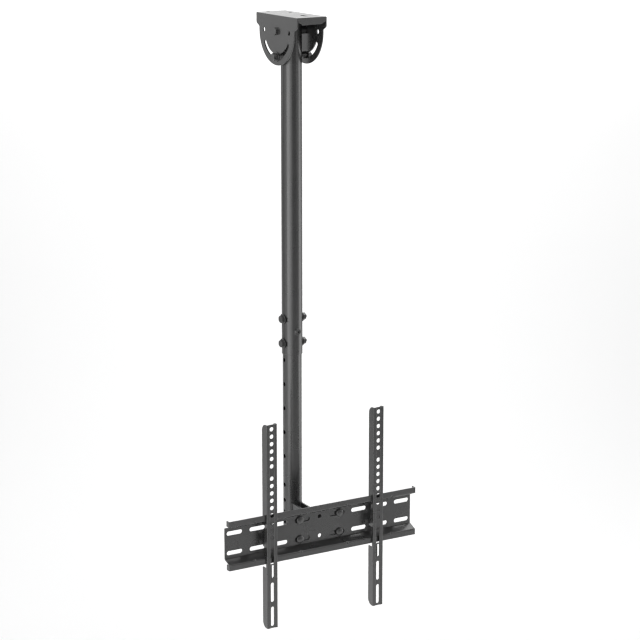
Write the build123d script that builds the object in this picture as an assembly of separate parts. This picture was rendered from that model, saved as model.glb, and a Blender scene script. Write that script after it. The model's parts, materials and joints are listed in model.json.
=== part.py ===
from build123d import *
import math
import os

# TV ceiling mount with a swinging, swivelling pole, a slotted cross plate and two
# hook-on rails. Millimetres. The origin is the middle of the ceiling plate's top face.
# X runs along the cross plate, minus Y points at the television, Z points up.

# Clearances between pieces that move past each other
RUN_GAP = 0.08
SLIP_GAP = 0.1
HOOK_GAP = 0.15
FLAP_GAP = 0.4

# Length of a cutter that only has to pass through
CUT = 60.0

# M8 hardware
M8 = 8.0
M8_HOLE = 8.4
HEX_FLATS = 13.0
HEX_HEAD_H = 5.3
HEX_CHAMFER = 0.9
NUT_H = 6.8
WASHER_D = 17.0
WIDE_WASHER_D = 20.0
WASHER_T = 1.6
WASHER_EDGE = 0.2
SPRING_D = 14.4
SPRING_T = 2.0
SPRING_SPLIT = 1.4
TIP_CHAMFER = 1.2
TIP_PROUD = 3.2

# Ceiling bracket
BRACKET_W = 67.0
BRACKET_L = 155.0
BRACKET_T = 2.5
BRACKET_BEND = 2.0
END_BEND = 1.2
SHOULDER_H = 20.0
SHOULDER_DROP = 26.5
SHOULDER_R = 6.0
WAIST_R = 4.2
CHEEK_R = 66.0
PIVOT_DROP = 31.3
FLAP_H = 14.0
FLAP_CORNER_W = 10.0
FLAP_CORNER_H = 5.5
LOCK_RADIUS = 49.0
ARC_SLOT_W = 9.0
ARC_SLOT_HALF_DEG = 60.0
CHEEK_HOLE_D = 9.0
CHEEK_HOLE_Y = 47.5
LAG_HOLE_D = 7.5
LAG_HOLES = ((-11.0, 70.0), (17.5, 33.0))
LAG_SLOT_AT = (3.0, -43.0)
LAG_SLOT_L = 21.0
LAG_SLOT_W = 8.0

# Telescoping pole
OUTER_D = 41.3
INNER_D = 38.1
TUBE_WALL = 1.5
OUTER_RISE = 16.3
OUTER_LENGTH = 660.0
INNER_LENGTH = 480.0
POLE_OVERLAP = 115.0
OUTER_LIP_R = 0.7
PIVOT_SLEEVE_D = 16.0
LOCK_SLEEVE_D = 14.0
POLE_BOLT_RISE = 22.5
POLE_BOLT_PITCH = 50.0
SWIVEL_HALF_DEG = 30.0
SWIVEL_SLOT_H = 9.0
HEIGHT_HOLE_RISE = 153.0
HEIGHT_HOLE_PITCH = 50.0
HEIGHT_HOLE_COUNT = 5
FOOT_HOLES = ((92.7, 8.4), (60.2, 8.4), (37.4, 5.0), (14.6, 8.4))

# Set screw and its welded boss on the front of the outer tube
BOSS_D = 13.0
BOSS_H = 3.4
BOSS_EDGE = 0.9
SET_PROUD = 0.8
SET_CHAMFER = 0.5
SET_SOCKET_FLATS = 4.0
SET_SOCKET_DEPTH = 2.5

# Plastic cap in the foot of the inner tube
CAP_RIM_H = 3.0
CAP_RIM_R = 1.2
CAP_PLUG_H = 8.0
CAP_WALL = 1.6
CAP_FIT = 0.05

# Cross plate, a folded sheet with a hat-shaped section
FOOT_TO_PLATE = 31.5
PLATE_REACH = 105.5
PLATE_T = 2.0
PLATE_HALF_W = 216.5
PLATE_BEND = 2.0
WEB_HALF_H = 30.9
FLANGE_RISE = 8.1
LIP_H = 11.0
LIP_DEPTH = 19.1
TAB_PROUD = 0.8
TAB_DEPTH = 10.5
TAB_BEND = 1.8
SLOT_ROW = 20.0
SLOT_FIRST = 40.7
SLOT_PITCH = 51.35
SLOT_COUNT = 4
SLOT_L = 35.2
SLOT_W = 9.0
CENTRE_HOLE_D = 8.5
DART_X = (53.7, 159.4)
DART_R = 3.0
DART_DEPTH = 2.3

# Yoke arms that carry the cross plate on the inner tube
ARM_T = 3.0
ARM_X = 9.5
ARM_BEND_BACK = 18.0
ARM_BEND_R = 3.5
ARM_TOP_AT_TUBE = 25.3
ARM_TOP_AT_PLATE = 20.8
ARM_DROP = 10.0
WING_ROOT = 22.5
WING_EDGE = 17.8
WING_MARGIN = 6.5
WING_CORNER_R = 5.0

# Carriage bolts that clamp the cross plate on the yoke
BOLT_OFF_SLOT = 5.5
CARRIAGE_D = 20.0
CARRIAGE_H = 4.6
NECK_FLATS = 8.0

# Vertical rails
RAIL_X = 123.5
RAIL_W = 23.6
RAIL_T = 1.5
RAIL_PROUD = 24.5
RAIL_DEPTH = 18.0
RAIL_SHORT_DEPTH = 12.7
RAIL_ABOVE = 183.5
RAIL_BELOW = 133.7
RAIL_BEND = 1.0
GROOVE_HALF_W = 5.0
GROOVE_DEPTH = 0.9
RAIL_HOLE_D = 9.0
RAIL_HOLE_START = 9.1
RAIL_HOLE_PITCH = 15.0
RAIL_UPPER_HOLES = 6
RAIL_LOWER_START = 100.0
RAIL_LOWER_HOLES = 9
RAIL_SLOT_W = 7.4
RAIL_SLOT_L = 40.7
RAIL_SLOT_PITCH = 50.1
RAIL_SLOT_COUNT = 3
RAIL_SLOT_RISE = 24.2
RAIL_WINDOW_DROP = 15.5
RAIL_CORNER_RUN = 12.0
RAIL_CORNER_RISE = 14.0

# Hook notch of the rails: depths from the rail's face, heights from the plate's middle
STRIP_DEPTH = 4.9
SLIT_DEPTH = 8.0
TOOTH_H = 8.5
TOOTH_CORNER = 3.0
TOOTH_LEAD = 1.5
NECK_DROP = 4.0
BELLY = ((7.0, 32.5), (10.6, 15.9), (11.8, 0.5), (17.6, -13.0))
HORN_TIP_Z = -14.5
HORN_ROOT = (6.2, -17.7)
STEP_BELOW_LIP = 8.1
STEP_EASE = 1.6

# Small bent stop in each rail, under the cross plate's lower lip
STOP_T = 1.5
STOP_GAP = 3.3
STOP_H = 32.2
STOP_DEPTH = 9.0
STOP_OFF = 1.8

# Places worked out from the sizes above
HALF_W = BRACKET_W / 2
HALF_L = BRACKET_L / 2
CHEEK_IN = HALF_W - BRACKET_T
PIVOT_Z = -PIVOT_DROP
LOCK_Z = PIVOT_Z - LOCK_RADIUS
OUTER_R = OUTER_D / 2
INNER_R = INNER_D / 2
OUTER_TOP = PIVOT_Z + OUTER_RISE
OUTER_BOTTOM = OUTER_TOP - OUTER_LENGTH
INNER_TOP = OUTER_BOTTOM + POLE_OVERLAP
INNER_BOTTOM = INNER_TOP - INNER_LENGTH
POLE_BOLT_Z = [OUTER_BOTTOM + POLE_BOLT_RISE + k * POLE_BOLT_PITCH for k in (0, 1)]
SET_Z = sum(POLE_BOLT_Z) / 2
PLATE_Z = INNER_BOTTOM + FOOT_TO_PLATE
PLATE_FRONT = -PLATE_REACH
PLATE_BACK = PLATE_FRONT + PLATE_T
FOLD_HALF_H = WEB_HALF_H + FLANGE_RISE
LIP_HALF_H = FOLD_HALF_H + LIP_H
LIP_FRONT = PLATE_FRONT - LIP_DEPTH
TAB_HALF_W = PLATE_HALF_W + TAB_PROUD
PLATE_BOLT_X = SLOT_FIRST + BOLT_OFF_SLOT
WING_FRONT = PLATE_BACK + SLIP_GAP
WING_BACK = WING_FRONT + ARM_T
WING_HALF_H = SLOT_ROW + WING_MARGIN
RAIL_FACE = PLATE_FRONT - RAIL_PROUD
RAIL_TOP = PLATE_Z + LIP_HALF_H + RAIL_ABOVE
RAIL_BOTTOM = PLATE_Z - LIP_HALF_H - RAIL_BELOW
GROOVE_MID = RAIL_FACE + RAIL_T / 2 + GROOVE_DEPTH
PLATE_CORNERS = [(side * PLATE_BOLT_X, PLATE_Z + row * SLOT_ROW) for row in (-1, 1) for side in (-1, 1)]


def rod_x(y, z, d, length, x=0.0):
    """A round bar along X, centred on x."""
    return Pos(x, y, z) * Rot(0, 90, 0) * Cylinder(d / 2, length)


def rod_y(x, z, d, length, y=0.0):
    """A round bar along Y, centred on y."""
    return Pos(x, y, z) * Rot(90, 0, 0) * Cylinder(d / 2, length)


def rod_z(d, low, high):
    """A round bar along Z on the pole's axis."""
    return Pos(0, 0, (low + high) / 2) * Cylinder(d / 2, high - low)


def out_x(shape, x, z, side):
    """Turn a shape built along plus Z so that it grows along X from the point (x, 0, z)."""
    return Pos(x, 0, z) * Rot(0, 90 * side, 0) * shape


def out_y(shape, x, y, z, side):
    """Turn a shape built along plus Z so that it grows along Y from the point (x, y, z)."""
    return Pos(x, y, z) * Rot(-90 * side, 0, 0) * shape


def group(shapes):
    """Like pieces that share one node as separate solids."""
    return Compound(children=list(shapes))


def hexagon(height, both_ends):
    """A hexagonal block on z = 0 with its corners turned down."""
    block = extrude(RegularPolygon(HEX_FLATS / 2, 6, major_radius=False), height)
    turned = Pos(0, 0, height / 2) * Cylinder(HEX_FLATS / 2 / math.cos(math.pi / 6), height)
    rims = turned.edges().filter_by(GeomType.CIRCLE).sort_by(Axis.Z)
    chosen = rims if both_ends else rims[-1:]
    return block & chamfer(chosen, HEX_CHAMFER * 0.6, HEX_CHAMFER)


def shank(length):
    """An M8 shank on z = 0 with a chamfered tip."""
    body = Pos(0, 0, length / 2) * Cylinder(M8 / 2, length)
    return chamfer(body.edges().filter_by(GeomType.CIRCLE).sort_by(Axis.Z)[-1], TIP_CHAMFER)


def hex_bolt(grip):
    """A hex bolt whose head stands below z = 0 and whose shank passes the grip and a nut."""
    head = Rot(180, 0, 0) * hexagon(HEX_HEAD_H, False)
    return head + shank(grip + NUT_H + TIP_PROUD)


def hex_nut():
    """An M8 nut on z = 0."""
    return hexagon(NUT_H, True) - Pos(0, 0, NUT_H / 2) * Cylinder(M8 / 2, NUT_H * 2)


def washer(d):
    """A flat washer on z = 0."""
    ring = Pos(0, 0, WASHER_T / 2) * Cylinder(d / 2, WASHER_T)
    ring = chamfer(ring.edges().filter_by(GeomType.CIRCLE), WASHER_EDGE)
    return ring - Pos(0, 0, WASHER_T / 2) * Cylinder(M8_HOLE / 2, WASHER_T * 2)


def spring_washer():
    """A split spring washer on z = 0."""
    ring = Pos(0, 0, SPRING_T / 2) * (
        Cylinder(SPRING_D / 2, SPRING_T) - Cylinder(M8_HOLE / 2, SPRING_T * 2)
    )
    split = Pos(SPRING_D / 2, 0, SPRING_T / 2) * Rot(20, 0, 0) * Box(SPRING_D, SPRING_SPLIT, SPRING_T * 3)
    return ring - split


def sheet_section(points, thick, radius):
    """The section of a bent sheet with square ends, around its middle line."""
    line = FilletPolyline(*points, radius=radius)
    left = make_face(offset(line, thick / 2, side=Side.LEFT))
    right = make_face(offset(line, thick / 2, side=Side.RIGHT))
    return left + right


def slot_cutter(length, width, turn=0.0):
    """A cutter along Y for a slot that lies along X, or turned upright."""
    return Rot(90, 0, 0) * Rot(0, 0, turn) * extrude(SlotOverall(length, width), CUT / 4, both=True)


# Ceiling bracket


def cheek_face():
    """The outline of one cheek: square shoulders, a waist, a round belly and its holes."""
    waist_y = math.sqrt(CHEEK_R ** 2 - (PIVOT_Z + SHOULDER_DROP) ** 2)
    corners = [(-HALF_L, 0), (-HALF_L, -SHOULDER_H), (-waist_y, -SHOULDER_DROP), (-CHEEK_R, PIVOT_Z)]
    mirrored = [(-y, z) for y, z in reversed(corners)]
    outline = Polyline(*mirrored, *corners)
    belly = ThreePointArc((-CHEEK_R, PIVOT_Z), (0, PIVOT_Z - CHEEK_R), (CHEEK_R, PIVOT_Z))
    face = make_face(outline + belly)
    face = fillet(face.vertices().filter_by(lambda v: abs(v.Y + SHOULDER_H) < 0.1), SHOULDER_R)
    face = fillet(face.vertices().filter_by(lambda v: abs(v.Y + SHOULDER_DROP) < 0.1), WAIST_R)
    track = CenterArc((0, PIVOT_Z), LOCK_RADIUS, -90 - ARC_SLOT_HALF_DEG, 2 * ARC_SLOT_HALF_DEG)
    face -= SlotArc(track, ARC_SLOT_W)
    face -= Pos(0, PIVOT_Z) * Circle(M8_HOLE / 2)
    for side in (-1, 1):
        face -= Pos(side * CHEEK_HOLE_Y, PIVOT_Z) * Circle(CHEEK_HOLE_D / 2)
    return face


def flap_face():
    """The outline of an end flap with its lower corners cut away."""
    half = CHEEK_IN - FLAP_GAP
    side = FLAP_H - FLAP_CORNER_H
    run = half - FLAP_CORNER_W
    points = [(-half, 0), (-half, -side), (-run, -FLAP_H), (run, -FLAP_H), (half, -side), (half, 0), (-half, 0)]
    face = make_face(Polyline(*points))
    return fillet(face.vertices().filter_by(lambda v: v.Y < -side / 2), SHOULDER_R / 2)


def outer_edges(body, axis, half, across):
    """The top edges of the bracket along an axis."""
    return [
        e for e in body.edges().filter_by(axis)
        if abs(abs(across(e.center())) - half) < 0.05 and abs(e.center().Z) < 0.05
    ]


def ceiling_bracket():
    """One folded sheet: top plate, two cheeks and two end flaps."""
    body = Pos(0, 0, -BRACKET_T / 2) * Box(BRACKET_W, BRACKET_L, BRACKET_T)
    cheek = extrude(Plane.YZ * cheek_face(), BRACKET_T)
    body += Pos(CHEEK_IN, 0, 0) * cheek + Pos(-HALF_W, 0, 0) * cheek
    flap = extrude(Plane.XZ * flap_face(), BRACKET_T)
    body += Pos(0, -HALF_L + BRACKET_T, 0) * flap + Pos(0, HALF_L, 0) * flap
    body = fillet(outer_edges(body, Axis.Y, HALF_W, lambda c: c.X), BRACKET_BEND)
    body = fillet(outer_edges(body, Axis.X, HALF_L, lambda c: c.Y), END_BEND)
    for x, y in LAG_HOLES:
        body -= Pos(x, y, 0) * Cylinder(LAG_HOLE_D / 2, BRACKET_T * 3)
    slot = Rot(0, 0, 90) * extrude(SlotOverall(LAG_SLOT_L, LAG_SLOT_W), BRACKET_T * 2, both=True)
    return body - Pos(LAG_SLOT_AT[0], LAG_SLOT_AT[1], 0) * slot


def pivot_hardware():
    """The pivot bolt through both cheeks, its washer and its nut."""
    bolt = out_x(hex_bolt(BRACKET_W + WASHER_T), -HALF_W, PIVOT_Z, 1)
    ring = out_x(washer(WASHER_D), HALF_W, PIVOT_Z, 1)
    nut = out_x(hex_nut(), HALF_W + WASHER_T, PIVOT_Z, 1)
    return {"pivot_bolt": bolt, "pivot_washer": ring, "pivot_nut": nut}


# Pole


def sleeves(z, d, bore):
    """Two sleeves between the tube's sides and the cheeks, coped round the tube."""
    reach = CHEEK_IN - 2 * SLIP_GAP
    both = rod_x(0, z, d, 2 * reach) - rod_x(0, z, bore, 2 * CUT)
    both -= rod_z(OUTER_D, z - CUT, z + CUT)
    return group(both.solids())


def lock_hardware():
    """The lock bolt that rides in the curved slots, with its washers and nut."""
    face = HALF_W + SLIP_GAP
    head_seat = face + WASHER_T + SPRING_T
    nut_seat = face + WASHER_T
    return {
        "lock_bolt": out_x(hex_bolt(head_seat + nut_seat), -head_seat, LOCK_Z, 1),
        "lock_washers": group(out_x(washer(WIDE_WASHER_D), side * face, LOCK_Z, side) for side in (-1, 1)),
        "lock_spring_washer": out_x(spring_washer(), -nut_seat, LOCK_Z, -1),
        "lock_nut": out_x(hex_nut(), nut_seat, LOCK_Z, 1),
    }


def swivel_slots():
    """Cutters for the cross slots that let the pole bolts turn with the inner tube."""
    half = math.radians(SWIVEL_HALF_DEG)
    far = (OUTER_D * math.cos(half), OUTER_D * math.sin(half))
    cutters = []
    for z in POLE_BOLT_Z:
        for side in (-1, 1):
            wedge = Polyline((0, 0), (side * far[0], -far[1]), (side * far[0], far[1]), (0, 0))
            cutters.append(Pos(0, 0, z) * extrude(make_face(wedge), SWIVEL_SLOT_H / 2, both=True))
        for turn in (-SWIVEL_HALF_DEG, SWIVEL_HALF_DEG):
            cutters.append(Rot(0, 0, turn) * rod_x(0, z, SWIVEL_SLOT_H, CUT))
    return cutters


def outer_tube():
    """The upper tube with rounded ends, its pivot and lock holes and the swivel slots."""
    tube = rod_z(OUTER_D, OUTER_BOTTOM, OUTER_TOP)
    tube = fillet(tube.edges().filter_by(GeomType.CIRCLE), OUTER_LIP_R)
    tube -= rod_z(OUTER_D - 2 * TUBE_WALL, OUTER_BOTTOM - 1, OUTER_TOP + 1)
    tube -= rod_x(0, PIVOT_Z, M8 + 2 * RUN_GAP, CUT)
    tube -= rod_x(0, LOCK_Z, M8_HOLE, CUT)
    tube -= rod_y(0, SET_Z, M8, CUT / 2, -CUT / 4)
    for cutter in swivel_slots():
        tube -= cutter
    return tube


def inner_tube():
    """The lower tube with its row of height holes and the holes near its foot."""
    tube = rod_z(INNER_D, INNER_BOTTOM, INNER_TOP)
    tube -= rod_z(INNER_D - 2 * TUBE_WALL, INNER_BOTTOM - 1, INNER_TOP + 1)
    holes = [(z, M8_HOLE) for z in POLE_BOLT_Z]
    for k in range(HEIGHT_HOLE_COUNT):
        holes.append((INNER_BOTTOM + HEIGHT_HOLE_RISE + k * HEIGHT_HOLE_PITCH, M8_HOLE))
    holes += [(INNER_BOTTOM + rise, d) for rise, d in FOOT_HOLES]
    for z, d in holes:
        tube -= rod_x(0, z, d, CUT)
    return tube


def pole_hardware():
    """The two bolts that pin the tubes, with their washers and nuts."""
    face = OUTER_R + SLIP_GAP
    seat = face + WASHER_T
    return {
        "pole_bolts": group(out_x(hex_bolt(2 * seat), -seat, z, 1) for z in POLE_BOLT_Z),
        "pole_washers": group(
            out_x(washer(WIDE_WASHER_D), side * face, z, side) for z in POLE_BOLT_Z for side in (-1, 1)
        ),
        "pole_nuts": group(out_x(hex_nut(), seat, z, 1) for z in POLE_BOLT_Z),
    }


def set_screw_parts():
    """A welded round boss on the tube's front and the socket screw in it."""
    length = OUTER_R + BOSS_H
    boss = rod_y(0, SET_Z, BOSS_D, length, -length / 2)
    rim = boss.edges().filter_by(GeomType.CIRCLE).sort_by(Axis.Y)[0]
    boss = chamfer(rim, BOSS_EDGE)
    boss -= rod_z(OUTER_D, SET_Z - BOSS_D, SET_Z + BOSS_D)
    boss -= rod_y(0, SET_Z, M8, CUT)
    tip = INNER_R + RUN_GAP
    head = length + SET_PROUD
    screw = rod_y(0, SET_Z, M8, head - tip, -(head + tip) / 2)
    screw = chamfer(screw.edges().filter_by(GeomType.CIRCLE), SET_CHAMFER)
    socket = extrude(RegularPolygon(SET_SOCKET_FLATS / 2, 6, major_radius=False), SET_SOCKET_DEPTH * 2)
    screw -= out_y(socket, 0, SET_SOCKET_DEPTH - head, SET_Z, -1)
    return {"set_screw_boss": boss, "set_screw": screw}


def tube_end_cap():
    """A plastic plug with a rounded rim."""
    plug_d = INNER_D - 2 * (TUBE_WALL + CAP_FIT)
    cap = rod_z(INNER_D, INNER_BOTTOM - CAP_RIM_H, INNER_BOTTOM)
    cap = fillet(cap.edges().filter_by(GeomType.CIRCLE).sort_by(Axis.Z)[0], CAP_RIM_R)
    cap += rod_z(plug_d, INNER_BOTTOM, INNER_BOTTOM + CAP_PLUG_H)
    return cap - rod_z(plug_d - 2 * CAP_WALL, INNER_BOTTOM, INNER_BOTTOM + 2 * CAP_PLUG_H)


# Yoke and cross plate


def arm_trim(rise_at_tube, rise_at_plate, beyond):
    """A cutter above or below an arm, from the tube to just behind the wing."""
    start = WING_BACK + ARM_T / 8
    outline = Polyline(
        (0, PLATE_Z + rise_at_tube),
        (start, PLATE_Z + rise_at_plate),
        (start, PLATE_Z + beyond),
        (0, PLATE_Z + beyond),
        (0, PLATE_Z + rise_at_tube),
    )
    return extrude(Plane.YZ * make_face(outline), CUT)


def yoke_arm():
    """The right arm: it runs forward from the tube, flares and ends in a wing behind the plate."""
    wing_y = (WING_FRONT + WING_BACK) / 2
    wing_x = PLATE_BOLT_X + WING_EDGE
    line = [(ARM_X, 0), (ARM_X, wing_y + ARM_BEND_BACK), (WING_ROOT, wing_y), (wing_x, wing_y)]
    section = sheet_section(line, ARM_T, ARM_BEND_R)
    arm = extrude(Plane.XY.offset(PLATE_Z - WING_HALF_H) * section, 2 * WING_HALF_H)
    arm -= arm_trim(ARM_TOP_AT_TUBE, ARM_TOP_AT_PLATE, 2 * WING_HALF_H)
    arm -= arm_trim(-ARM_DROP, -ARM_DROP, -2 * WING_HALF_H)
    arm -= rod_z(INNER_D, INNER_BOTTOM - CUT, INNER_TOP)
    corners = arm.edges().filter_by(Axis.Y).filter_by(lambda e: e.center().X > wing_x - 0.1)
    arm = fillet(corners, WING_CORNER_R)
    for row in (-1, 1):
        arm -= rod_y(PLATE_BOLT_X, PLATE_Z + row * SLOT_ROW, M8_HOLE, CUT, WING_BACK)
    return arm


def end_tab(row, side):
    """A lip's end, folded back at the side of the plate."""
    z = PLATE_Z + row * (FOLD_HALF_H + LIP_H / 2)
    tab = Pos(side * (TAB_HALF_W - PLATE_T / 2), LIP_FRONT + TAB_DEPTH / 2, z) * Box(PLATE_T, TAB_DEPTH, LIP_H)
    tab += Pos(side * (TAB_HALF_W - PLATE_T), LIP_FRONT + PLATE_T / 2, z) * Box(2 * PLATE_T, PLATE_T, LIP_H)
    corner = tab.edges().filter_by(Axis.Z).filter_by(
        lambda e: abs(e.center().X) > TAB_HALF_W - 0.05 and e.center().Y < LIP_FRONT + 0.05
    )
    return fillet(corner, TAB_BEND)


def pressed_dart(row, x):
    """The groove and the pressed-in wall of a stiffening dart across a lip's fold."""
    lean = math.atan2(FLANGE_RISE, LIP_DEPTH)
    half_turn = (math.pi / 2 - lean) / 2
    corner_z = FOLD_HALF_H - PLATE_T / 2 * math.tan(half_turn)
    corner = Vector(x, LIP_FRONT, PLATE_Z + row * corner_z)
    reach = 4 * DART_R
    on_lip = corner + Vector(0, 0, row * reach)
    on_flange = corner + Vector(0, math.cos(lean), -row * math.sin(lean)) * reach
    behind = make_face(Polyline(
        (corner.Y, corner.Z), (on_lip.Y, on_lip.Z), (on_flange.Y, on_flange.Z), (corner.Y, corner.Z)
    ))
    nose = behind.vertices().sort_by_distance((corner.Y, corner.Z, 0))[0]
    behind = fillet(nose, PLATE_BEND + PLATE_T / 2)
    wedge = extrude(Plane.YZ.offset(x) * behind, reach, both=True)
    away = (corner - (on_lip + on_flange) / 2).normalized()
    centre = corner + away * (DART_R - DART_DEPTH)
    chord = on_flange - on_lip
    turn = math.degrees(math.atan2(chord.Z, chord.Y)) - 90
    lay = Pos(centre.X, centre.Y, centre.Z) * Rot(turn, 0, 0)
    hollow = lay * Cylinder(DART_R, 3 * reach)
    shell = lay * Cylinder(DART_R + PLATE_T, 3 * reach) - hollow
    return hollow, shell & wedge


def cross_plate():
    """A folded hat section with slots, centre holes, end tabs and pressed darts."""
    web_y = PLATE_FRONT + PLATE_T / 2
    lip_y = LIP_FRONT + PLATE_T / 2
    upper = [(lip_y, PLATE_Z + LIP_HALF_H), (lip_y, PLATE_Z + FOLD_HALF_H), (web_y, PLATE_Z + WEB_HALF_H)]
    lower = [(y, 2 * PLATE_Z - z) for y, z in reversed(upper)]
    section = sheet_section(upper + lower, PLATE_T, PLATE_BEND)
    plate = extrude(Plane.YZ * section, PLATE_HALF_W, both=True)
    for row in (-1, 1):
        row_z = PLATE_Z + row * SLOT_ROW
        plate -= rod_y(0, row_z, CENTRE_HOLE_D, CUT / 4, web_y)
        for side in (-1, 1):
            plate += end_tab(row, side)
            for k in range(SLOT_COUNT):
                x = side * (SLOT_FIRST + k * SLOT_PITCH)
                plate -= Pos(x, web_y, row_z) * slot_cutter(SLOT_L, SLOT_W)
            for x in DART_X:
                hollow, wall = pressed_dart(row, side * x)
                plate = plate - hollow + wall
    return plate


def carriage_bolt(length):
    """A mushroom-headed bolt with a square neck; the head stands below z = 0."""
    ball_r = (CARRIAGE_H ** 2 + (CARRIAGE_D / 2) ** 2) / (2 * CARRIAGE_H)
    ball = Pos(0, 0, ball_r - CARRIAGE_H) * Sphere(ball_r)
    head = ball & Pos(0, 0, -CARRIAGE_H / 2) * Cylinder(CARRIAGE_D / 2, CARRIAGE_H)
    neck = Pos(0, 0, PLATE_T / 2) * Box(NECK_FLATS, NECK_FLATS, PLATE_T)
    return head + neck + shank(length)


def plate_hardware():
    """Carriage bolts through the plate's slots and the wings, with washers and nuts."""
    head_y = PLATE_FRONT - SLIP_GAP
    length = WING_BACK + WASHER_T + NUT_H + TIP_PROUD - head_y
    bolt = carriage_bolt(length)
    return {
        "plate_bolts": group(out_y(bolt, x, head_y, z, 1) for x, z in PLATE_CORNERS),
        "plate_washers": group(out_y(washer(WASHER_D), x, WING_BACK, z, 1) for x, z in PLATE_CORNERS),
        "plate_nuts": group(out_y(hex_nut(), x, WING_BACK + WASHER_T, z, 1) for x, z in PLATE_CORNERS),
    }


# Rails


def rail_section():
    """The channel section: a grooved face, one deep flange and one shorter flange."""
    side = (RAIL_W - RAIL_T) / 2
    face = RAIL_FACE + RAIL_T / 2
    step = GROOVE_HALF_W + GROOVE_DEPTH
    line = [
        (-side, RAIL_FACE + RAIL_DEPTH),
        (-side, face),
        (-step, face),
        (-GROOVE_HALF_W, GROOVE_MID),
        (GROOVE_HALF_W, GROOVE_MID),
        (step, face),
        (side, face),
        (side, RAIL_FACE + RAIL_SHORT_DEPTH),
    ]
    return sheet_section(line, RAIL_T, RAIL_BEND)


def rail_point(depth, rise):
    """A point of the rail's side view: depth behind its face, height from the plate's middle."""
    return (RAIL_FACE + depth, PLATE_Z + rise)


def rail_corner(rise, bend):
    """The rounded back corner at an end of the flanges, from the end to the back edge."""
    share = 1 - math.sqrt(0.5)
    near = RAIL_DEPTH - RAIL_CORNER_RUN
    return ThreePointArc(
        rail_point(near, rise),
        rail_point(RAIL_DEPTH - share * RAIL_CORNER_RUN, rise + bend * share * RAIL_CORNER_RISE),
        rail_point(RAIL_DEPTH, rise + bend * RAIL_CORNER_RISE),
    )


def rail_profile():
    """The side view of a rail: rounded ends, the hook slit, the tooth, the belly and the horn."""
    top = RAIL_TOP - PLATE_Z
    bottom = RAIL_BOTTOM - PLATE_Z
    near = RAIL_DEPTH - RAIL_CORNER_RUN
    tooth = LIP_HALF_H - TOOTH_H
    slit = LIP_HALF_H + HOOK_GAP
    step = -LIP_HALF_H - STEP_BELOW_LIP
    hook = Polyline(
        rail_point(RAIL_DEPTH, top - RAIL_CORNER_RISE),
        rail_point(RAIL_DEPTH, tooth + TOOTH_CORNER),
        rail_point(RAIL_DEPTH - TOOTH_CORNER, tooth),
        rail_point(SLIT_DEPTH + TOOTH_LEAD, tooth),
        rail_point(SLIT_DEPTH, tooth + TOOTH_LEAD),
        rail_point(SLIT_DEPTH, slit),
        rail_point(STRIP_DEPTH, slit),
        rail_point(STRIP_DEPTH, FOLD_HALF_H - NECK_DROP),
        rail_point(*BELLY[0]),
    )
    belly = Spline(*[rail_point(*p) for p in BELLY])
    horn = Polyline(
        rail_point(*BELLY[-1]),
        rail_point(RAIL_DEPTH, HORN_TIP_Z),
        rail_point(*HORN_ROOT),
        rail_point(STRIP_DEPTH, HORN_ROOT[1] - STEP_EASE),
        rail_point(STRIP_DEPTH, step),
        rail_point(RAIL_DEPTH - STEP_EASE, step),
        rail_point(RAIL_DEPTH, step - STEP_EASE),
        rail_point(RAIL_DEPTH, bottom + RAIL_CORNER_RISE),
    )
    front = Polyline(rail_point(near, bottom), rail_point(0, bottom), rail_point(0, top), rail_point(near, top))
    return make_face([front, rail_corner(top, -1), hook, belly, horn, rail_corner(bottom, 1)])


def rail():
    """A rail on the middle plane x = 0."""
    body = extrude(Plane.XY.offset(RAIL_BOTTOM) * rail_section(), RAIL_TOP - RAIL_BOTTOM)
    body &= extrude(Plane.YZ * rail_profile(), RAIL_W, both=True)
    first = RAIL_TOP - RAIL_HOLE_START
    rows = [first - k * RAIL_HOLE_PITCH for k in range(RAIL_UPPER_HOLES)]
    rows += [first - RAIL_LOWER_START - k * RAIL_HOLE_PITCH for k in range(RAIL_LOWER_HOLES)]
    for z in rows:
        body -= rod_y(0, z, RAIL_HOLE_D, CUT / 4, GROOVE_MID)
    slots = [RAIL_BOTTOM + RAIL_SLOT_RISE + k * RAIL_SLOT_PITCH for k in range(RAIL_SLOT_COUNT)]
    for z in slots:
        body -= Pos(0, GROOVE_MID, z) * slot_cutter(RAIL_SLOT_L, RAIL_SLOT_W, 90)
    window_top = PLATE_Z - RAIL_WINDOW_DROP
    window = slot_cutter(window_top - slots[-1], RAIL_SLOT_W, 90)
    return body - Pos(0, GROOVE_MID, (window_top + slots[-1]) / 2) * window


def rail_stop():
    """A bent stop inside the channel, just under the plate's lower lip."""
    top = PLATE_Z - LIP_HALF_H - STOP_GAP
    front = GROOVE_MID + RAIL_T / 2
    back = RAIL_FACE + STOP_DEPTH
    right = RAIL_W / 2 - RAIL_T
    leg = Pos(STOP_T / 2 - STOP_OFF, (front + back) / 2, top - STOP_H / 2) * Box(STOP_T, back - front, STOP_H)
    shelf_front = RAIL_FACE + STRIP_DEPTH
    shelf_x = (right - STOP_OFF) / 2
    shelf = Box(right + STOP_OFF, back - shelf_front, STOP_T)
    return leg + Pos(shelf_x, (shelf_front + back) / 2, top - STOP_T / 2) * shelf


# Put every piece in its node

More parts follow.
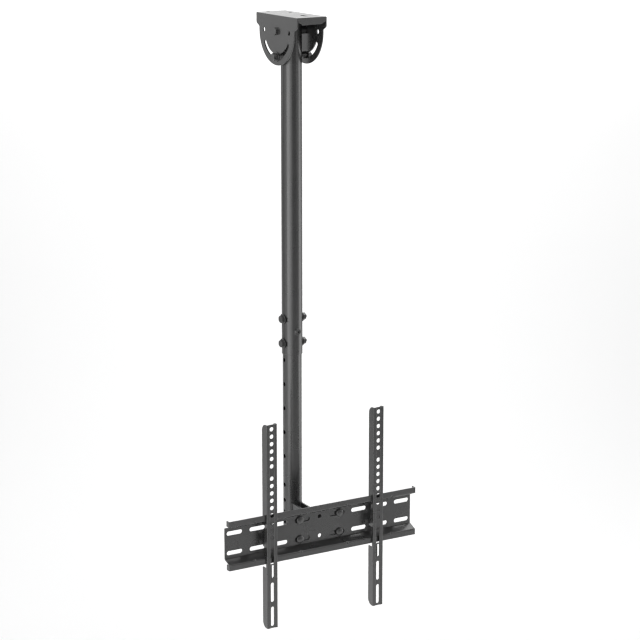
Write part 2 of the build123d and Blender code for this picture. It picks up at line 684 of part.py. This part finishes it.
arm = yoke_arm()
rail_body = rail()
stop_body = rail_stop()
parts = {
    "ceiling_bracket": ceiling_bracket(),
    **pivot_hardware(),
    "pivot_spacers": sleeves(PIVOT_Z, PIVOT_SLEEVE_D, M8 + 2 * RUN_GAP),
    "lock_spacers": sleeves(LOCK_Z, LOCK_SLEEVE_D, M8_HOLE),
    **lock_hardware(),
    "outer_tube": outer_tube(),
    "inner_tube": inner_tube(),
    **pole_hardware(),
    **set_screw_parts(),
    "tube_end_cap": tube_end_cap(),
    "yoke_arm_left": mirror(arm, Plane.YZ),
    "yoke_arm_right": arm,
    "cross_plate": cross_plate(),
    **plate_hardware(),
    "rail_left": Pos(-RAIL_X, 0, 0) * rail_body,
    "rail_right": Pos(RAIL_X, 0, 0) * rail_body,
    "rail_stop_left": Pos(-RAIL_X, 0, 0) * stop_body,
    "rail_stop_right": Pos(RAIL_X, 0, 0) * stop_body,
}

os.makedirs("parts", exist_ok=True)
for name, shape in parts.items():
    shape.label = name
    export_step(shape, f"parts/{name}.step")
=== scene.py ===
import bmesh
import bpy
import json
import math
from mathutils import Matrix, Vector


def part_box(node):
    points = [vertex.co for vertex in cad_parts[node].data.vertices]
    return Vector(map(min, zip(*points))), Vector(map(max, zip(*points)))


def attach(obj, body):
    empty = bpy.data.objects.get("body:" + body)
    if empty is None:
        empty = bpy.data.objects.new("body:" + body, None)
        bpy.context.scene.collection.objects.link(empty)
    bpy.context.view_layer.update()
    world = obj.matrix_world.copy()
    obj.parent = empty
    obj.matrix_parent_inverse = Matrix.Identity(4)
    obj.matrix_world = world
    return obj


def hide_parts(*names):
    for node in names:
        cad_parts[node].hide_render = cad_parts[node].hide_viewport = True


# Metres, in the CAD part's frame: origin on the ceiling face, X along the cross plate,
# minus Y towards the television, Z up.

# Camera, at the photograph's viewing angle
CAMERA_AT = Vector((-2.1984, -3.6984, 0.3954))
CAMERA_YAW = math.radians(31.47)
CAMERA_PITCH = math.radians(13.12)
SENSOR_MM = 36.0
LENS_MM = 124.5
CLIP_END = 200.0
PIXEL_FILTER = 1.2

# Floor and world
FLOOR_Z = -1.6
FLOOR_SIZE = 80.0
FLOOR_COLOUR = (0.93, 0.93, 0.93, 1.0)
FLOOR_ROUGHNESS = 0.9
WORLD_COLOUR = (1.0, 1.0, 1.0, 1.0)
WORLD_STRENGTH = 0.22

# Overhead panels behind the object: nearest edge, farthest edge, half width, radiance
PANEL_HEIGHT = 1.4
PANELS = {
    "near_panel": (-0.6, 5.0, 1.7, 1.75),
    "middle_panel": (5.0, 12.0, 3.8, 1.15),
    "far_panel": (12.0, 40.0, 7.0, 1.15),
}

# Softboxes that face the pole: azimuth in degrees, height, distance, width, tall, radiance
SOFTBOXES = {
    "left_fill": (168.0, -0.2, 2.4, 1.5, 2.6, 0.42),
    "left_box": (-157.0, -0.2, 2.4, 1.6, 2.6, 1.95),
    "front_fill": (-128.0, -0.2, 2.4, 0.95, 2.6, 0.75),
    "right_fill": (-56.0, -0.13, 2.4, 0.95, 1.15, 0.5),
    "right_box": (-20.0, -0.2, 2.4, 1.5, 2.6, 1.5),
    "cheek_box": (121.0, 0.45, 2.4, 1.2, 1.9, 0.64),
    "back_box": (59.0, 2.2, 8.0, 7.0, 3.2, 0.06),
}

# Surfaces: colour, roughness, grains in a metre, relief of the grain, rounding of the edges
SURFACES = {
    "powder_coat": ((0.028, 0.028, 0.028), 0.28, 1400.0, 0.00001, 0.0008),
    "black_steel": ((0.030, 0.030, 0.030), 0.28, 2600.0, 0.00001, 0.0003),
    "black_plastic": ((0.018, 0.018, 0.019), 0.5, 1800.0, 0.00004, 0.0003),
}
SURFACE_IOR = 1.9
EDGE_SAMPLES = 6
GRAIN_DETAIL = 3.0
GRAIN_STRENGTH = 0.35
CLOUD_SCALE = 14.0
CLOUD_DETAIL = 4.0
CLOUD_LOW = 0.3
CLOUD_HIGH = 0.7
COLOUR_DRIFT = 0.03
ROUGHNESS_DRIFT = 0.03

# Edges sharper than this stay sharp on the pieces built here
SMOOTH_ANGLE = math.radians(40)

# M8 thread
THREAD_R = 0.0041
THREAD_DEPTH = 0.0006
THREAD_PITCH = 0.00125
THREAD_FLANK = 1.3
THREAD_SIDES = 24
THREAD_RINGS = 6
TIP_CHAMFER = 0.0012

# Threaded tips along X: piece, its bolts and the nuts that they pass
THREADED = (
    ("pivot_threads", "pivot_bolt", "pivot_nut"),
    ("lock_threads", "lock_bolt", "lock_nut"),
    ("pole_threads", "pole_bolts", "pole_nuts"),
)
ONE_NUT_REACH = 0.0205

# Mushroom-headed plate bolts
HEAD_R = 0.0081
HEAD_WALL = 0.0029
HEAD_RISE = 0.0017
HEAD_RIM = 0.0005
HEAD_SIDES = 48
RIM_SHARES = (0.3, 0.7)
DOME_SHARES = (0.94, 0.8, 0.6, 0.4, 0.2, 0.04)
CAD_HEAD_R = 0.010
NECK_HALF = 0.0039
NECK_LENGTH = 0.0025
THREAD_START = 0.0062

# Weld beads
WELD_R = 0.0017
BOSS_WELD_R = 0.0009
WELD_STEP = 0.0005
WELD_SIDES = 12
WELD_END = 0.4
RIPPLE = 0.12
RIPPLE_TURN = 1.3
SEAM_BAND = 0.002


def new_material(name):
    """A node material with its shader ready."""
    material = bpy.data.materials.new(name)
    material.use_nodes = True
    return material, material.node_tree.nodes["Principled BSDF"]


def noise(nodes, links, coordinates, scale, detail):
    """A noise texture in object space."""
    texture = nodes.new("ShaderNodeTexNoise")
    texture.inputs["Scale"].default_value = scale
    texture.inputs["Detail"].default_value = detail
    links.new(coordinates.outputs["Object"], texture.inputs["Vector"])
    return texture.outputs["Fac"]


def remap(nodes, links, source, low, high):
    """The cloud's value, spread between low and high."""
    spread = nodes.new("ShaderNodeMapRange")
    spread.inputs["From Min"].default_value = CLOUD_LOW
    spread.inputs["From Max"].default_value = CLOUD_HIGH
    spread.inputs["To Min"].default_value = low
    spread.inputs["To Max"].default_value = high
    links.new(source, spread.inputs["Value"])
    return spread.outputs["Result"]


def shade(nodes, links, source, colour):
    """A colour that drifts a little either side of the given one."""
    mix = nodes.new("ShaderNodeMix")
    mix.data_type = "RGBA"
    mix.inputs["A"].default_value = [c * (1 - COLOUR_DRIFT) for c in colour] + [1.0]
    mix.inputs["B"].default_value = [c * (1 + COLOUR_DRIFT) for c in colour] + [1.0]
    links.new(remap(nodes, links, source, 0.0, 1.0), mix.inputs["Factor"])
    return mix.outputs["Result"]


def surface(name, colour, rough, grain, relief, edge_round):
    """Painted or moulded surface: fine grain, cloudy roughness and colour, rounded edges."""
    material, shader = new_material(name)
    nodes = material.node_tree.nodes
    links = material.node_tree.links
    coordinates = nodes.new("ShaderNodeTexCoord")
    fine = noise(nodes, links, coordinates, grain, GRAIN_DETAIL)
    cloud = noise(nodes, links, coordinates, CLOUD_SCALE, CLOUD_DETAIL)
    smooth = rough - ROUGHNESS_DRIFT
    matt = rough + ROUGHNESS_DRIFT
    links.new(shade(nodes, links, cloud, colour), shader.inputs["Base Color"])
    links.new(remap(nodes, links, cloud, smooth, matt), shader.inputs["Roughness"])
    edge = nodes.new("ShaderNodeBevel")
    edge.samples = EDGE_SAMPLES
    edge.inputs["Radius"].default_value = edge_round
    bump = nodes.new("ShaderNodeBump")
    bump.inputs["Strength"].default_value = GRAIN_STRENGTH
    bump.inputs["Distance"].default_value = relief
    links.new(edge.outputs["Normal"], bump.inputs["Normal"])
    links.new(fine, bump.inputs["Height"])
    links.new(bump.outputs["Normal"], shader.inputs["Normal"])
    shader.inputs["IOR"].default_value = SURFACE_IOR
    return material


def dress(frame, name, material):
    """Give a CAD node its material."""
    mesh = frame["nodes"][name].data
    mesh.materials.clear()
    mesh.materials.append(material)


def turns(sides):
    """Equal turns around a circle."""
    return [2 * math.pi * k / sides for k in range(sides)]


def circle(radius, height, sides):
    """A ring of points around Z."""
    return [(radius * math.cos(turn), radius * math.sin(turn), height) for turn in turns(sides)]


def skin(build, rings, place):
    """Join rings of points into a closed skin with capped ends."""
    loops = [[build.verts.new(place @ Vector(point)) for point in ring] for ring in rings]
    for near, far in zip(loops, loops[1:]):
        for k in range(len(near)):
            j = (k + 1) % len(near)
            build.faces.new((near[k], near[j], far[j], far[k]))
    build.faces.new(loops[0][::-1])
    build.faces.new(loops[-1])


def thread_rings(start, end):
    """Rings of a screw thread from start to end, with a chamfered tip."""
    count = math.ceil((end - start) / THREAD_PITCH * THREAD_RINGS)
    rings = []
    for i in range(count + 1):
        height = start + (end - start) * i / count
        limit = THREAD_R - max(0.0, height - (end - TIP_CHAMFER))
        ring = []
        for k, turn in enumerate(turns(THREAD_SIDES)):
            phase = (height / THREAD_PITCH - k / THREAD_SIDES) % 1.0
            depth = THREAD_DEPTH * min(1.0, abs(2 * phase - 1) * THREAD_FLANK)
            radius = min(limit, THREAD_R - depth)
            ring.append((radius * math.cos(turn), radius * math.sin(turn), height))
        rings.append(ring)
    return rings


def bead(build, path, radius):
    """A rippled weld bead along pairs of a point and its outward direction."""
    rings = []
    last = len(path) - 1
    for i, (point, out) in enumerate(path):
        along = path[min(i + 1, last)][0] - path[max(i - 1, 0)][0]
        side = along.cross(out).normalized()
        swell = radius * (1 + RIPPLE * math.sin(i * RIPPLE_TURN))
        if i in (0, last):
            swell *= WELD_END
        ring = []
        for turn in turns(WELD_SIDES):
            ring.append(point + (side * math.cos(turn) + out * math.sin(turn)) * swell)
        rings.append(ring)
    skin(build, rings, Matrix.Identity(4))


def piece(name, build, material, body):
    """Turn a built mesh into a shaded piece that rides on a body."""
    bmesh.ops.recalc_face_normals(build, faces=build.faces)
    mesh = bpy.data.meshes.new(name)
    build.to_mesh(mesh)
    build.free()
    mesh.shade_smooth()
    mesh.set_sharp_from_angle(angle=SMOOTH_ANGLE)
    mesh.materials.append(material)
    made = bpy.data.objects.new(name, mesh)
    bpy.context.scene.collection.objects.link(made)
    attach(made, body)
    return made


def bolt_head():
    """Rings of a mushroom head, from its flat underside at zero to the top of its dome."""
    ball = (HEAD_R ** 2 + HEAD_RISE ** 2) / (2 * HEAD_RISE)
    slope = math.asin(HEAD_R / ball)
    rings = [circle(HEAD_R, height, HEAD_SIDES) for height in (0.0, HEAD_RIM - HEAD_WALL)]
    for share in RIM_SHARES:
        inset = HEAD_RIM * (1 - math.cos(share * math.pi / 2))
        rise = HEAD_RIM * math.sin(share * math.pi / 2)
        rings.append(circle(HEAD_R - inset, HEAD_RIM - HEAD_WALL - rise, HEAD_SIDES))
    for share in DOME_SHARES:
        drop = ball * (1 - math.cos(slope * share))
        height = drop - HEAD_WALL - HEAD_RISE
        rings.append(circle(ball * math.sin(slope * share), height, HEAD_SIDES))
    return rings


def plate_bolts(material, body):
    """The four plate bolts: mushroom head, square neck and threaded shank."""
    low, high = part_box("plate_bolts")
    base = low[1] + HEAD_WALL + HEAD_RISE
    corners = ((-1, -1), (1, -1), (1, 1), (-1, 1))
    square = [(NECK_HALF * a, NECK_HALF * b) for a, b in corners]
    neck = [[(a, b, height) for a, b in square] for height in (0.0, NECK_LENGTH)]
    plain = [circle(THREAD_R, height, THREAD_SIDES) for height in (NECK_LENGTH, THREAD_START)]
    thread = thread_rings(THREAD_START, high[1] - base)
    build = bmesh.new()
    for x in (low[0] + CAD_HEAD_R, high[0] - CAD_HEAD_R):
        for z in (low[2] + CAD_HEAD_R, high[2] - CAD_HEAD_R):
            place = Matrix.Translation((x, base, z)) @ Matrix.Rotation(-math.pi / 2, 4, "X")
            for rings in (bolt_head(), neck, plain, thread):
                skin(build, rings, place)
    made = piece("mushroom_bolts", build, material, body)
    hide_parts("plate_bolts")


def nut_middles(frame, nut):
    """The height of each nut's middle, in a node that holds one nut or two."""
    heights = [vertex.co.z for vertex in frame["nodes"][nut].data.vertices]
    groups = [heights]
    if max(heights) - min(heights) > ONE_NUT_REACH:
        middle = sum(heights) / len(heights)
        groups = [[z for z in heights if z < middle], [z for z in heights if z >= middle]]
    return [(max(group) + min(group)) / 2 for group in groups]


def threads(frame, name, bolt, nut, material, body):
    """Threads on the tips of a node's bolts, which run along X past their nuts."""
    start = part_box(nut)[1][0]
    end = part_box(bolt)[1][0]
    build = bmesh.new()
    for z in nut_middles(frame, nut):
        place = Matrix.Translation((0, 0, z)) @ Matrix.Rotation(math.pi / 2, 4, "Y")
        skin(build, thread_rings(start - THREAD_PITCH, end), place)
    piece(name, build, material, body)


def arm_welds(frame, material, body):
    """Beads where the arms meet the tube, inside and outside each arm."""
    tube_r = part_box("inner_tube")[1][0]
    build = bmesh.new()
    for name, side in (("yoke_arm_left", -1), ("yoke_arm_right", 1)):
        points = [vertex.co for vertex in frame["nodes"][name].data.vertices]
        seam_y = max(point.y for point in points)
        ends = [point for point in points if point.y > seam_y - SEAM_BAND]
        bottom = min(point.z for point in ends)
        top = max(point.z for point in ends)
        count = round((top - bottom) / WELD_STEP)
        heights = [bottom + (top - bottom) * i / count for i in range(count + 1)]
        reach = [abs(point.x) for point in ends]
        for x, lean in ((max(reach), 1), (min(reach), -1)):
            y = -math.sqrt(tube_r ** 2 - x ** 2)
            out = Vector((side * lean, -1, 0)).normalized()
            bead(build, [(Vector((side * x, y, z)), out) for z in heights], WELD_R)
    piece("arm_welds", build, material, body)


def boss_weld(material, body):
    """The bead around the foot of the set screw boss."""
    low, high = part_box("set_screw_boss")
    tube_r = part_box("outer_tube")[1][0]
    radius = (high[0] - low[0]) / 2
    middle = (low[2] + high[2]) / 2
    count = round(2 * math.pi * radius / WELD_STEP)
    out = Vector((0, -1, 0))
    path = []
    for i in range(count + 1):
        turn = 2 * math.pi * i / count
        x = radius * math.cos(turn)
        z = middle + radius * math.sin(turn)
        path.append((Vector((x, -math.sqrt(tube_r ** 2 - x ** 2), z)), out))
    build = bmesh.new()
    bead(build, path, BOSS_WELD_R)
    piece("boss_weld", build, material, body)


def area_light(name, place, rotation, width, tall, radiance):
    """A rectangular area light of a given brightness."""
    light = bpy.data.lights.new(name, "AREA")
    light.shape = "RECTANGLE"
    light.size = width
    light.size_y = tall
    light.energy = radiance * math.pi * width * tall
    lamp = bpy.data.objects.new(name, light)
    bpy.context.scene.collection.objects.link(lamp)
    lamp.location = place
    lamp.rotation_euler = rotation


def lights():
    """Overhead panels behind the object, and upright softboxes around it."""
    back = Vector((math.sin(CAMERA_YAW), math.cos(CAMERA_YAW), 0.0))
    for name, (start, end, half_width, radiance) in PANELS.items():
        place = back * (start + end) / 2 + Vector((0, 0, PANEL_HEIGHT))
        level = (0, 0, -CAMERA_YAW)
        area_light(name, place, level, 2 * half_width, end - start, radiance)
    for name, (azimuth, height, distance, width, tall, radiance) in SOFTBOXES.items():
        turn = math.radians(azimuth)
        place = Vector((distance * math.cos(turn), distance * math.sin(turn), height))
        inward = Vector((-place.x, -place.y, 0)).to_track_quat("-Z", "Y").to_euler()
        area_light(name, place, inward, width, tall, radiance)


def stage():
    """A pale floor, a soft world and the plain view of the colours."""
    bpy.ops.mesh.primitive_plane_add(size=FLOOR_SIZE, location=(0, 0, FLOOR_Z))
    floor = bpy.context.object
    floor.name = "floor"
    material, shader = new_material("floor_paint")
    shader.inputs["Base Color"].default_value = FLOOR_COLOUR
    shader.inputs["Roughness"].default_value = FLOOR_ROUGHNESS
    shader.inputs["Specular IOR Level"].default_value = 0.0
    floor.data.materials.append(material)
    world = bpy.data.worlds.new("studio")
    world.use_nodes = True
    background = world.node_tree.nodes["Background"]
    background.inputs["Color"].default_value = WORLD_COLOUR
    background.inputs["Strength"].default_value = WORLD_STRENGTH
    bpy.context.scene.world = world
    bpy.context.scene.view_settings.view_transform = "Standard"
    bpy.context.scene.cycles.filter_width = PIXEL_FILTER


def camera():
    """The camera at the photograph's place."""
    lens = bpy.data.cameras.new("camera")
    lens.sensor_width = SENSOR_MM
    lens.lens = LENS_MM
    lens.clip_end = CLIP_END
    eye = bpy.data.objects.new("camera", lens)
    bpy.context.scene.collection.objects.link(eye)
    look = Vector((
        math.sin(CAMERA_YAW) * math.cos(CAMERA_PITCH),
        math.cos(CAMERA_YAW) * math.cos(CAMERA_PITCH),
        -math.sin(CAMERA_PITCH),
    ))
    eye.location = CAMERA_AT
    eye.rotation_euler = look.to_track_quat("-Z", "Y").to_euler()
    bpy.context.scene.camera = eye


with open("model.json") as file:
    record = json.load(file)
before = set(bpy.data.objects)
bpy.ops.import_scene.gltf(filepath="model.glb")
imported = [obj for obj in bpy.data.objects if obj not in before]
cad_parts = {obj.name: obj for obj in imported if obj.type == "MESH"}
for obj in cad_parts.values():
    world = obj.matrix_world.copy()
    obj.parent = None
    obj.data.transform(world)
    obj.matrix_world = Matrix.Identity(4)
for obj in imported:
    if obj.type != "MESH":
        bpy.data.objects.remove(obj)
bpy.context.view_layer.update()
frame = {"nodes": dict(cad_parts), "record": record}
materials = {name: surface(name, *values) for name, values in SURFACES.items()}
for part in frame["record"]["subparts"]:
    dress(frame, part["node"], materials[part["material_slot"]])
body_of = {}
for body, nodes in frame["record"]["behaviour"]["bodies"].items():
    for node in nodes:
        body_of[node] = body
steel = materials["black_steel"]
coat = materials["powder_coat"]
plate_bolts(steel, body_of["plate_bolts"])
for name, bolt, nut in THREADED:
    threads(frame, name, bolt, nut, steel, body_of[bolt])
arm_welds(frame, coat, body_of["inner_tube"])
boss_weld(coat, body_of["set_screw_boss"])
stage()
lights()
camera()
bpy.context.view_layer.update()
